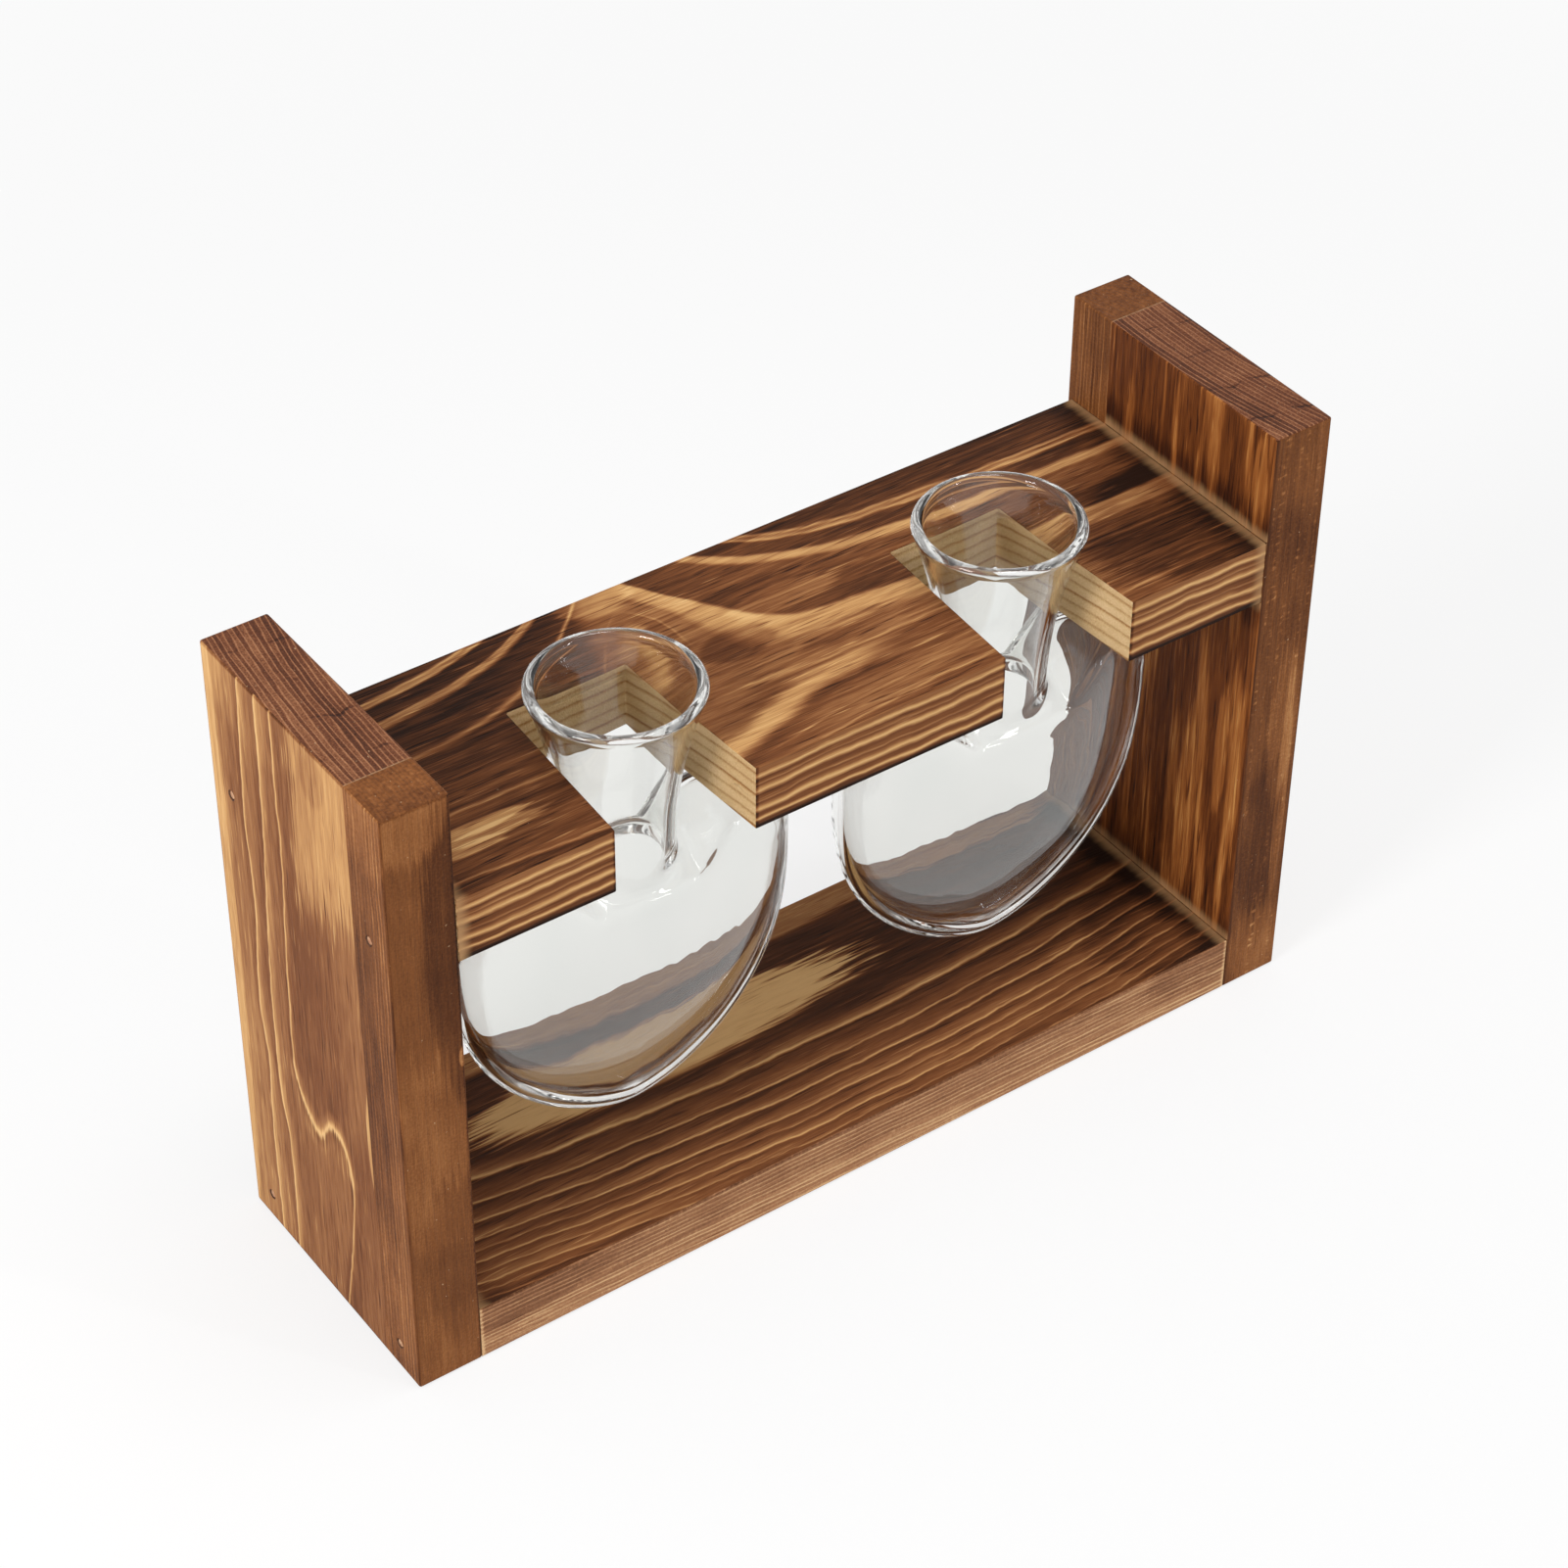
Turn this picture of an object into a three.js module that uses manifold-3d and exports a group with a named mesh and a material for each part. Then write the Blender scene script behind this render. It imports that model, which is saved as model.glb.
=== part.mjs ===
// Vase stand: two flat heart-shaped glass flasks hang by their flared rims in a wooden frame.
// Millimetres, +Z up, +X along the frame, -Y towards the open front of the notches.
// The origin lies under the middle of the frame, on the surface that it stands on.

import * as THREE from 'three';
import { mergeVertices } from 'three/addons/utils/BufferGeometryUtils.js';
import Module from 'manifold-3d';

// Flask: heights are steps from its bottom upwards, half sizes are outside the glass.
const bulbBelowWidest = 59.5;
const shoulderRise = 11;
const flareRise = 40.5;
const bulbHalfWidth = 40.5;
const bulbHalfDepth = 13.5;
const lobeRise = 9;
const shoulderDip = 2.5;
const neckFoot = 8;
const waistRadius = 11.4;
const rimRadius = 18.3;
const lipRadius = 1.3;
const glassWall = 2.2;
const glassBottom = 4;

// How fast the heart draws in to its tip, and how steeply its lobes rise.
const tipWidthPower = 1.42;
const tipDepthPower = 1.3;
const tipHeightPower = 0.735;
const lobePower = 1.3;

// Frame boards: stock sizes, and how far each one stands back or stands proud.
const endThickness = 15;
const baseThickness = 14;
const shelfThickness = 15.5;
const endRise = 26;
const stripWidth = 13;
const shelfSetback = 1.3;
const shelfSpine = 23;

// Room round the flasks, and the notch that holds each rim.
const rimRise = 13;
const baseGap = 12.5;
const bulbGap = 13;
const sideGap = 11.5;
const seatSetback = 24.25;
const seatClearance = 0.3;
const notchTailGap = 3.3;
const notchTaper = THREE.MathUtils.degToRad(3);

// Brads: one size for every joint.
const bradRadius = 0.6;
const bradLength = 30;
const bradHeadRadius = 1.1;
const bradHeadThickness = 0.8;
const bradSink = 0.2;
const bradPoint = 1.5;
const bradEdge = 7.25;
const bradClearance = 0.3;

// Facets of the round shapes.
const flaskSegments = 36;
const bulbSteps = 12;
const shoulderSteps = 12;
const flareSteps = 9;
const lipSteps = 6;
const bradSegments = 12;

// The flask's heights, and the radius of its flare where it meets the shelf's top.
const waistHeight = bulbBelowWidest + shoulderRise;
const flaskHeight = waistHeight + flareRise;
const lipHeight = flaskHeight - lipRadius;
const seatHeight = flaskHeight - rimRise;
const seatRadius = flareRadius(seatHeight);

// The frame is built round the flasks.
const shelfTop = baseThickness + baseGap + seatHeight;
const frameHeight = shelfTop + endRise;
const flaskPitch = 2 * bulbHalfWidth + bulbGap;
const boardLength = flaskPitch + 2 * (bulbHalfWidth + sideGap);
const frameLength = boardLength + 2 * endThickness;
const notchTail = seatRadius + notchTailGap;
const notchDepth = seatSetback + notchTail;
const shelfDepth = notchDepth + shelfSpine;
const frameDepth = shelfDepth + shelfSetback;
const frontY = -frameDepth / 2;
const backY = frameDepth / 2;
const seatY = frontY + seatSetback;

const wasm = await Module();
wasm.setup();

// Outer radius of the trumpet neck: a parabola from the waist to the lip.
function flareRadius(height) {
  const share = (height - waistHeight) / (lipHeight - waistHeight);
  return waistRadius + (rimRadius - waistRadius) * share ** 2;
}

// Welds a geometry's seams and drops the empty triangles at its poles.
function weld(geometry) {
  geometry.deleteAttribute('normal');
  geometry.deleteAttribute('uv');
  const welded = mergeVertices(geometry);
  const corners = Array.from(welded.index.array);
  const kept = [];
  for (let i = 0; i < corners.length; i += 3) {
    const [a, b, c] = corners.slice(i, i + 3);
    if (a !== b && b !== c && c !== a) {
      kept.push(a, b, c);
    }
  }
  welded.setIndex(kept);
  return welded;
}

// A welded geometry as a solid that can be cut.
function toSolid(geometry) {
  const welded = weld(geometry);
  return new wasm.Manifold(new wasm.Mesh({
    numProp: 3,
    vertProperties: new Float32Array(welded.attributes.position.array),
    triVerts: new Uint32Array(welded.index.array),
  }));
}

// A cut solid as a geometry again.
function toGeometry(solid) {
  const mesh = solid.getMesh();
  const geometry = new THREE.BufferGeometry();
  geometry.setAttribute('position', new THREE.BufferAttribute(mesh.vertProperties, mesh.numProp));
  geometry.setIndex(new THREE.BufferAttribute(mesh.triVerts, 1));
  geometry.computeVertexNormals();
  return geometry;
}

// A board between two opposite corners.
function board(low, high) {
  const size = new THREE.Vector3().subVectors(high, low);
  const middle = new THREE.Vector3().addVectors(low, high).divideScalar(2);
  return new THREE.BoxGeometry(size.x, size.y, size.z).translate(middle.x, middle.y, middle.z);
}

// A turned piece that lies along X, with its point towards +X and its head's top at X = 0.
function turnedAlongX(profile) {
  const points = profile.map(([along, radius]) => new THREE.Vector2(radius, -along));
  return new THREE.LatheGeometry(points.reverse(), bradSegments).rotateZ(Math.PI / 2);
}

// The brad itself, and the larger space that it needs in the wood.
function bradShape() {
  return turnedAlongX([
    [0, 0],
    [0, bradHeadRadius],
    [bradHeadThickness, bradHeadRadius],
    [bradHeadThickness, bradRadius],
    [bradLength - bradPoint, bradRadius],
    [bradLength, 0],
  ]);
}

function bradSpace() {
  return turnedAlongX([
    [-endThickness, 0],
    [-endThickness, bradHeadRadius + bradClearance],
    [bradHeadThickness, bradHeadRadius + bradClearance],
    [bradHeadThickness, bradRadius + bradClearance],
    [bradLength + bradClearance, bradRadius + bradClearance],
    [bradLength + bradClearance, 0],
  ]);
}

// Every brad's place: driven inwards through an end into the shelf or the base.
const bradPlaces = [];
for (const [side, direction] of [['left', 1], ['right', -1]]) {
  for (const [joint, z] of [['shelf', shelfTop - shelfThickness / 2], ['base', baseThickness / 2]]) {
    for (const [place, y] of [['front', frontY + bradEdge], ['back', backY - bradEdge]]) {
      const headX = direction * (bradSink - frameLength / 2);
      const name = `${side}_${joint}_${place}_brad`;
      bradPlaces.push({ name, direction, position: new THREE.Vector3(headX, y, z) });
    }
  }
}

// Moves a brad-shaped geometry to a brad's place, turned round at the right end.
function atBrad(geometry, { direction, position }) {
  const turn = direction > 0 ? 0 : Math.PI;
  return geometry.rotateZ(turn).translate(position.x, position.y, position.z);
}

// Bores the space of every brad out of a wooden piece.
function drilled(geometry) {
  let solid = toSolid(geometry);
  for (const place of bradPlaces) {
    solid = solid.subtract(toSolid(atBrad(bradSpace(), place)));
  }
  return toGeometry(solid);
}

// The shelf's outline seen from above, with a tapered notch in front for each flask.
function shelfOutline() {
  const seatHalf = seatRadius + seatClearance;
  const mouthHalf = seatHalf + seatSetback * Math.tan(notchTaper);
  const tailHalf = seatHalf - notchTail * Math.tan(notchTaper);
  const tailY = frontY + notchDepth;
  const outline = new THREE.Shape();
  outline.moveTo(-boardLength / 2, frontY);
  for (const x of [-flaskPitch / 2, flaskPitch / 2]) {
    outline.lineTo(x - mouthHalf, frontY);
    outline.lineTo(x - tailHalf, tailY);
    outline.lineTo(x + tailHalf, tailY);
    outline.lineTo(x + mouthHalf, frontY);
  }
  outline.lineTo(boardLength / 2, frontY);
  outline.lineTo(boardLength / 2, frontY + shelfDepth);
  outline.lineTo(-boardLength / 2, frontY + shelfDepth);
  return outline;
}

function shelfBoard() {
  const slab = new THREE.ExtrudeGeometry(shelfOutline(), { depth: shelfThickness, bevelEnabled: false });
  return drilled(slab.translate(0, 0, shelfTop - shelfThickness));
}

function baseBoard() {
  const low = new THREE.Vector3(-boardLength / 2, frontY, 0);
  const high = new THREE.Vector3(boardLength / 2, backY, baseThickness);
  return drilled(board(low, high));
}

// One piece of a glued-up end, from one depth to another.
function endPiece(direction, fromY, toY) {
  const outerX = direction * frameLength / 2;
  const innerX = direction * boardLength / 2;
  const low = new THREE.Vector3(Math.min(outerX, innerX), fromY, 0);
  const high = new THREE.Vector3(Math.max(outerX, innerX), toY, frameHeight);
  return drilled(board(low, high));
}

// One wall of the flask from its tip to its lip, set in from the outside: half sizes ring by ring.
function flaskWall(inset, bottom) {
  const rings = [];
  for (let i = 0; i <= bulbSteps; i += 1) {
    const angle = (Math.PI / 2) * (i / bulbSteps);
    const width = (bulbHalfWidth - inset) * Math.sin(angle) ** tipWidthPower;
    const depth = (bulbHalfDepth - inset) * Math.sin(angle) ** tipDepthPower;
    const drop = (bulbBelowWidest - bottom) * Math.max(Math.cos(angle), 0) ** tipHeightPower;
    rings.push({ width, depth, height: bulbBelowWidest - drop, lobe: 0 });
  }
  const shoulder = shoulderCurve(inset);
  for (let i = 1; i <= shoulderSteps; i += 1) {
    const share = i / shoulderSteps;
    const { x, y, z } = shoulder.getPoint(share);
    rings.push({ width: x, depth: y, height: z, lobe: 1 - (1 - share) ** 6 });
  }
  for (let i = 1; i < flareSteps; i += 1) {
    const height = THREE.MathUtils.lerp(waistHeight, lipHeight, i / flareSteps);
    const radius = flareRadius(height) - inset;
    rings.push({ width: radius, depth: radius, height, lobe: 0 });
  }
  return rings;
}

// The shoulder swings in from the bulb's widest ring and up into the round waist.
function shoulderCurve(inset) {
  const waist = waistRadius - inset;
  const top = waistHeight - inset;
  return new THREE.CubicBezierCurve3(
    new THREE.Vector3(bulbHalfWidth - inset, bulbHalfDepth - inset, bulbBelowWidest),
    new THREE.Vector3(bulbHalfWidth - inset, bulbHalfDepth - inset, top - shoulderDip),
    new THREE.Vector3(waist, waist, top - neckFoot),
    new THREE.Vector3(waist, waist, top),
  );
}

// The rounded lip from its outermost ring over the top to its innermost one.
function flaskLip() {
  const rings = [];
  for (let i = 0; i <= lipSteps; i += 1) {
    const angle = Math.PI * (i / lipSteps);
    const radius = rimRadius - lipRadius * (1 - Math.cos(angle));
    rings.push({ width: radius, depth: radius, height: lipHeight + lipRadius * Math.sin(angle), lobe: 0 });
  }
  return rings;
}

// How far the heart's lobes stand up at a distance from the neck's axis.
function lobeHeight(distance) {
  const share = (distance - waistRadius) / (bulbHalfWidth - waistRadius);
  const swell = Math.max(Math.sin(Math.PI * THREE.MathUtils.clamp(share, 0, 1)), 0);
  return lobeRise * swell ** lobePower;
}

// The flask: turned to its half depths, drawn out sideways to its half widths, its lobes raised.
function flask(x) {
  const inside = flaskWall(glassWall, glassBottom).reverse();
  const rings = [...flaskWall(0, 0), ...flaskLip(), ...inside];
  const profile = rings.map(({ depth, height }) => new THREE.Vector2(depth, height));
  const turned = new THREE.LatheGeometry(profile, flaskSegments).rotateX(Math.PI / 2);
  const points = turned.attributes.position;
  for (let i = 0; i < points.count; i += 1) {
    const { width, depth, lobe } = rings[i % rings.length];
    const across = depth > 0 ? points.getX(i) * width / depth : 0;
    points.setX(i, across);
    points.setZ(i, points.getZ(i) + lobe * lobeHeight(Math.abs(across)));
  }
  return weld(turned).translate(x, seatY, baseThickness + baseGap);
}

const torchedWood = { roughness: 0.75, metalness: 0 };
const paleTorched = new THREE.MeshStandardMaterial({ color: 0x9a6236, ...torchedWood });
const darkTorched = new THREE.MeshStandardMaterial({ color: 0x6e4426, ...torchedWood });
const redTorched = new THREE.MeshStandardMaterial({ color: 0x845036, ...torchedWood });
const clearGlass = new THREE.MeshStandardMaterial({
  color: 0xdfe9e6,
  roughness: 0.05,
  metalness: 0,
  transparent: true,
  opacity: 0.4,
});
const brightSteel = new THREE.MeshStandardMaterial({ color: 0xb9b6b0, roughness: 0.35, metalness: 1 });

const group = new THREE.Group();
group.name = 'vase_stand';

function addPiece(name, geometry, material) {
  const mesh = new THREE.Mesh(geometry, material);
  mesh.name = name;
  group.add(mesh);
}

// The same glued-up panel makes both ends, turned round so that its strip is in front or behind.
addPiece('left_end_board', endPiece(-1, frontY + stripWidth, backY), paleTorched);
addPiece('left_end_strip', endPiece(-1, frontY, frontY + stripWidth), redTorched);
addPiece('right_end_board', endPiece(1, frontY, backY - stripWidth), paleTorched);
addPiece('right_end_strip', endPiece(1, backY - stripWidth, backY), redTorched);
addPiece('base_board', baseBoard(), darkTorched);
addPiece('shelf_board', shelfBoard(), darkTorched);
addPiece('left_vase', flask(-flaskPitch / 2), clearGlass);
addPiece('right_vase', flask(flaskPitch / 2), clearGlass);
for (const place of bradPlaces) {
  addPiece(place.name, weld(atBrad(bradShape(), place)), brightSteel);
}

export default group;
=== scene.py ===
# %% [markdown]
# # Two glass vases in a torched wooden frame
# The object is a small table stand. Two upright ends carry a base board and a notched shelf, and a clear
# flat vase hangs by its flared rim in each notch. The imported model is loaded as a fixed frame, and every
# piece is made in it, in metres, so nothing is fitted by eye.

# %% Load the frame
import math

import bmesh
import bpy
import numpy as np
from mathutils import Matrix, Vector


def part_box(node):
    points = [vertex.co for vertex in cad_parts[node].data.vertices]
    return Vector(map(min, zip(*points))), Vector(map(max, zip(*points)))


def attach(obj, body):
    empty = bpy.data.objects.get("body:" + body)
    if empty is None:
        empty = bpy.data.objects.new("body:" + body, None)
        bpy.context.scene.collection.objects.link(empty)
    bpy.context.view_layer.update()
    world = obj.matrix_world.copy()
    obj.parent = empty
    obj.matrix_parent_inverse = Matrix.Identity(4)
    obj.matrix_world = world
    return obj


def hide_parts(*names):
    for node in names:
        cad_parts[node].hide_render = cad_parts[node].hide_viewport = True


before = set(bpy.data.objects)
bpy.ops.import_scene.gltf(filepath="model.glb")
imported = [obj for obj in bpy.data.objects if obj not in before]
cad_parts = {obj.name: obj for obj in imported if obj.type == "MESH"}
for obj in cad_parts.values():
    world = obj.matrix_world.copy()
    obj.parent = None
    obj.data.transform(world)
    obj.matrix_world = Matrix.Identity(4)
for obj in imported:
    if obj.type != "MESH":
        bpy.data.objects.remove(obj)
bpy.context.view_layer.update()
scene = bpy.context.scene
scene.view_settings.view_transform = "Standard"
MM = 0.001


def put(name, data):
    """A new object in the scene."""
    made = bpy.data.objects.new(name, data)
    scene.collection.objects.link(made)
    return made


# %% [markdown]
# The finishes follow the boards: rings stop at a joint, char gathers in a corner and on an arris. So the
# places of the faces are read from the frame once, in millimetres, and have names from here on.

# %% Places of the faces
def place_of(name, side):
    """Where a side of a solid's box lies, in millimetres. A side is written as -x or +z."""
    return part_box(name)[side[0] == "+"]["xyz".index(side[1])] / MM


OUTER, INNER = place_of("right_end_board", "+x"), place_of("right_end_board", "-x")
TOP, DEPTH = place_of("right_end_board", "+z"), place_of("right_end_strip", "+y")
SEAM = place_of("right_end_strip", "-y")
BASE_TOP = place_of("base_board", "+z")
SHELF_TOP, SHELF_UNDER = place_of("shelf_board", "+z"), place_of("shelf_board", "-z")
NOTCH, MOUTH_HALF = 47, 16.367
NOTCH_CORNERS = [side * NOTCH + half for side in (-1, 1) for half in (-MOUTH_HALF, MOUTH_HALF)]
print("ends from", INNER, "to", OUTER, "mm, shelf from", SHELF_UNDER, "to", SHELF_TOP, "mm")

# %% [markdown]
# ## Camera
# The photograph looks down on the front left corner through a long lens. A camera could be aimed with a
# Track To constraint, but the picture is also turned by half a degree, so its three axes are written out
# from the azimuth, the elevation and that roll.

# %% Camera
PICTURE_PIXELS, FOCAL_PIXELS, SENSOR_MM = 1601, 4168.51, 36
CAMERA_PLACE = (-0.3830, -0.5356, 0.6249)
azimuth, elevation, roll = (math.radians(a) for a in (-35.557, 39.417, 0.4656))
level_part = math.cos(elevation)
back = Vector((math.sin(azimuth) * level_part, -math.cos(azimuth) * level_part, math.sin(elevation)))
level = Vector((0, 0, 1)).cross(back).normalized()
upward = back.cross(level)
right = level * math.cos(roll) + upward * math.sin(roll)
up = upward * math.cos(roll) - level * math.sin(roll)
camera_data = bpy.data.cameras.new("photo_camera")
camera_data.sensor_width = SENSOR_MM
camera_data.lens = SENSOR_MM * FOCAL_PIXELS / PICTURE_PIXELS
camera_data.clip_start = 0.01
scene.camera = put("photo_camera", camera_data)
turned = Matrix((right, up, back)).transposed().to_4x4()
scene.camera.matrix_world = Matrix.Translation(CAMERA_PLACE) @ turned
print("lens in mm:", round(camera_data.lens, 2))

# %% [markdown]
# ## Writing finishes as expressions
# A finish is a tree of nodes. Placing hundreds of nodes by hand hides the idea, so one small class wraps a
# socket: adding or multiplying two of them adds a Math node, and its method `node` adds any other node.

# %% Sockets as numbers
class Tone:
    """A socket of a finish that can stand in a Python expression."""

    def __init__(self, tree, socket=None):
        self.tree, self.socket = tree, socket

    def node(self, kind, settings=None, sockets=None, out=0):
        """Adds a node: its settings first, then the values or links of its sockets."""
        made = self.tree.nodes.new(kind)
        for key, value in (settings or {}).items():
            if key == "stops":
                stops = made.color_ramp.elements
                for stop, (place, colour) in ((stops[0], value[0]), (stops[1], value[-1])):
                    stop.position, stop.color = place, colour
                for place, colour in value[1:-1]:
                    stops.new(place).color = colour
            elif key == "between":
                made.color_ramp.interpolation = value
            elif key == "items":
                for _ in range(value - len(made.index_switch_items)):
                    made.index_switch_items.new()
            else:
                setattr(made, key, value)
        for key, value in (sockets or {}).items():
            if isinstance(value, Tone):
                self.tree.links.new(value.socket, made.inputs[key])
            else:
                made.inputs[key].default_value = value
        return Tone(self.tree, made.outputs[out]) if made.outputs else self

    def math(self, operation, *values):
        return self.node("ShaderNodeMath", {"operation": operation}, dict(enumerate(values)))

    def __add__(self, other):
        return self.math("ADD", self, other)

    def __sub__(self, other):
        return self.math("SUBTRACT", self, other)

    def __rsub__(self, other):
        return self.math("SUBTRACT", other, self)

    def __mul__(self, other):
        return self.math("MULTIPLY", self, other)

    def __truediv__(self, other):
        return self.math("DIVIDE", self, other)

    def __neg__(self):
        return self.math("MULTIPLY", self, -1)

    def __abs__(self):
        return self.math("ABSOLUTE", self)

    def root(self):
        return self.math("SQRT", self)

    def power(self):
        """The number e to this power."""
        return self.math("EXPONENT", self)

    __radd__, __rmul__ = __add__, __mul__

    def rise(self, low, high):
        """0 up to low, 1 from high on, smooth between them. With low above high it falls."""
        return self.node("ShaderNodeMapRange", {"interpolation_type": "SMOOTHSTEP"},
                         {"Value": self, "From Min": low, "From Max": high})

    def over(self, under, colour):
        """The colour laid over another one where this mask is 1."""
        return self.node("ShaderNodeMix", {"data_type": "RGBA"}, {0: self, 6: under, 7: colour}, out=2)

    def shade(self, tones):
        """The colour of this value on a ramp of (place, colour)."""
        return self.node("ShaderNodeValToRGB", {"stops": tones}, {"Fac": self})


def screen(red, green, blue):
    """A colour as seen on a screen, from 0 to 255, as linear numbers."""
    shares = [v / 255 for v in (red, green, blue)]
    return (*[v / 12.92 if v < 0.0404 else ((v + 0.055) / 1.055) ** 2.4 for v in shares], 1)


print("a tan in linear numbers:", screen(200, 155, 105))

# %% [markdown]
# Every wood finish starts from the place of a point on the object, in millimetres, and ends in one
# Principled shader with a bump. Two helpers hold those ends. A third makes noise, drawn out along an axis
# by a small scale there, and a fourth adds up noises to let a line wander.

# %% Start and end of a finish
def begin(name):
    """A new finish, and the x, y and z of a point on the object in millimetres."""
    made = bpy.data.materials.new(name)
    made.use_nodes = True
    made.node_tree.nodes.clear()
    start = Tone(made.node_tree)
    spot = start.node("ShaderNodeTexCoord", out="Object")
    spot = start.node("ShaderNodeVectorMath", {"operation": "SCALE"}, {0: spot, "Scale": 1 / MM})
    parts = start.node("ShaderNodeSeparateXYZ", None, {0: spot}).socket.node.outputs
    return made, *[Tone(made.node_tree, part) for part in parts]


def end(made, colour, roughness, height, depth, more=None):
    """Closes a finish: colour, roughness, and a bump of the given depth in metres."""
    start = Tone(made.node_tree)
    bump = start.node("ShaderNodeBump", None, {"Height": height, "Distance": depth, "Strength": 1})
    lit = start.node("ShaderNodeBsdfPrincipled", None,
                     {"Base Color": colour, "Roughness": roughness, "Normal": bump, **(more or {})})
    start.node("ShaderNodeOutputMaterial", None, {"Surface": lit})
    print("finish", made.name, "has", len(made.node_tree.nodes), "nodes")
    return made


def cloud(axes, scales, detail, seed):
    """Noise about 0, from roughly -1 to 1, over two or three scaled coordinates."""
    place = [axis * scale for axis, scale in zip(axes, scales)]
    place[0], place[1] = place[0] + seed, place[1] + seed * 0.37
    spot = place[0].node("ShaderNodeCombineXYZ", None, dict(enumerate(place)))
    noise = spot.node("ShaderNodeTexNoise", None, {"Vector": spot, "Scale": 1, "Detail": detail})
    return (noise - 0.5) * 3.2


def wander(axes, *waves):
    """A sum of clouds, each given as (scales, detail, seed, reach in millimetres)."""
    return sum(cloud(axes, scales, detail, seed) * reach for scales, detail, seed, reach in waves)


print("finishes are worked out in units of", MM, "m")

# %% [markdown]
# ## Torched wood
# The boards are planed softwood that was passed under a torch and brushed. The soft wood of each year's
# ring chars, and the hard edge of the ring stays as a thin golden line. An image of wood would stretch and
# repeat, so each face is worked out in space, in millimetres, as the depth of the burn: 0 is bare wood and
# 1 is char. Noise drawn out along the grain gives the flame's reach, the fibres and short dashes, and one
# ramp at the end turns the burn into a colour.

# %% Grain
TORCHED = [(0, screen(226, 181, 122)), (0.2, screen(200, 150, 95)), (0.42, screen(156, 105, 64)),
           (0.6, screen(121, 72, 40)), (0.8, screen(79, 44, 23)), (1, screen(37, 19, 10))]
WARM = [(0, screen(222, 170, 104)), (0.2, screen(190, 128, 68)), (0.42, screen(152, 90, 42)),
        (0.6, screen(112, 60, 25)), (0.8, screen(66, 31, 13)), (1, screen(30, 13, 6))]
CRUMB, CORNER = screen(206, 172, 134), screen(184, 142, 98)


class Grain:
    """Noise drawn out along the grain: flame, fibres, hair-fine fibres, dashes, licks and crumbs."""

    def __init__(self, along, across, deep, seed):
        self.along, self.across = along, across
        axes = (along, across, deep)
        self.flame = cloud(axes, (0.014, 0.07, 0.07), 2, seed)
        self.fibre = cloud(axes, (0.045, 1, 1), 3, seed + 7)
        self.hair = cloud(axes, (0.16, 4.5, 4.5), 2, seed + 9)
        self.dash = cloud(axes, (0.085, 1.7, 1.7), 1, seed + 11)
        self.crumb = cloud(axes, (0.8, 1.5, 1.5), 2, seed + 13)
        self.lick = cloud(axes, (0.035, 0.5, 0.5), 3, seed + 15)

    def rough(self, amount=1):
        """What the fibres add to a burn."""
        dashes = (self.dash.rise(-0.4, -0.9) - self.dash.rise(0.45, 0.95)) * 0.2
        broad = self.flame * 0.06 + self.lick * 0.07
        return (broad + self.fibre * 0.1 + self.hair * 0.09 + dashes) * amount


print("stops in the torched ramp:", len(TORCHED))

# %% [markdown]
# Across the grain, a colour ramp holds the rings of one face. Every ring takes three stops: the dark edge
# in front of the light line, the line itself, and the warm fade behind it. A single line that wanders
# follows a curve through a few points, which a ramp can hold as well.

# %% Rings and lines
def rings(place, lines, first, last):
    """The burn across the rings. lines: (centre, half width, burn before, of the line, behind it)."""
    stops = [first]
    for centre, half, before, core, behind in lines:
        stops += [(centre - half, before), (centre, core), (centre + half, behind)]
    stops.append(last)
    low, reach = first[0], last[0] - first[0]
    share = (place - low) / reach
    return share.shade([((spot - low) / reach, (burn, burn, burn, 1)) for spot, burn in stops])


def bend(place, points):
    """A smooth curve through points of (place, value)."""
    margin = 1
    low, reach = points[0][0], points[-1][0] - points[0][0]
    least = min(value for spot, value in points) - margin
    span = max(value for spot, value in points) + margin - least
    ramp = [((spot - low) / reach, (*[(value - least) / span] * 3, 1)) for spot, value in points]
    share = (place - low) / reach
    curve = share.node("ShaderNodeValToRGB", {"between": "CARDINAL", "stops": ramp}, {"Fac": share})
    return curve * span + least


def streak(burn, gap, half, core, glow, reach):
    """One light line where gap is 0, with a warm fade on its negative side and a dark edge on the other."""
    ahead = gap.rise(half * 0.8, 0)
    burn = burn - gap.rise(-half, 0) * ahead * core - gap.rise(-reach, 0) * ahead * glow
    return burn + gap.rise(0, half) * gap.rise(reach, half) * 0.1


print("a burn can hold rings, bends and streaks")

# %% [markdown]
# The flame left more than rings. Patches lighten or darken an oval that is frayed along the grain, the burn
# grows darker within about a centimetre of each inside corner, with a pale, worn line in the corner itself,
# and the arrises are charred. Masks with soft edges do all of it, and they only ever change the burn, so
# that every mark keeps to the colours of one wood.

# %% Patches, corners and arrises
def block(burn, grain, along, across, lean, amount):
    """A bare block with frayed sides from along to the top: lean slants its lower edge."""
    fray = grain.fibre * 2.2 + grain.dash * 2
    first = grain.along - along + (grain.across - across[0]) * lean + fray * 3.4
    side, other = grain.across - across[0], across[1] - grain.across + fray * 1.3
    return burn + first.rise(-5, 8) * side.rise(-0.3, 0.3) * other.rise(-1, 2.5) * amount


def patched(burn, grain, patches):
    """Adds patches to a burn: (along, across, half along, half across, how much darker)."""
    fray = grain.fibre * 0.22 + grain.dash * 0.2
    for centre, middle, long, wide, amount in patches:
        run, rise = (grain.along - centre) / long + fray, (grain.across - middle) / wide
        burn = burn + (run * run + rise * rise + fray * 0.3).rise(1.25, 0.7) * amount
    return burn


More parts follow.
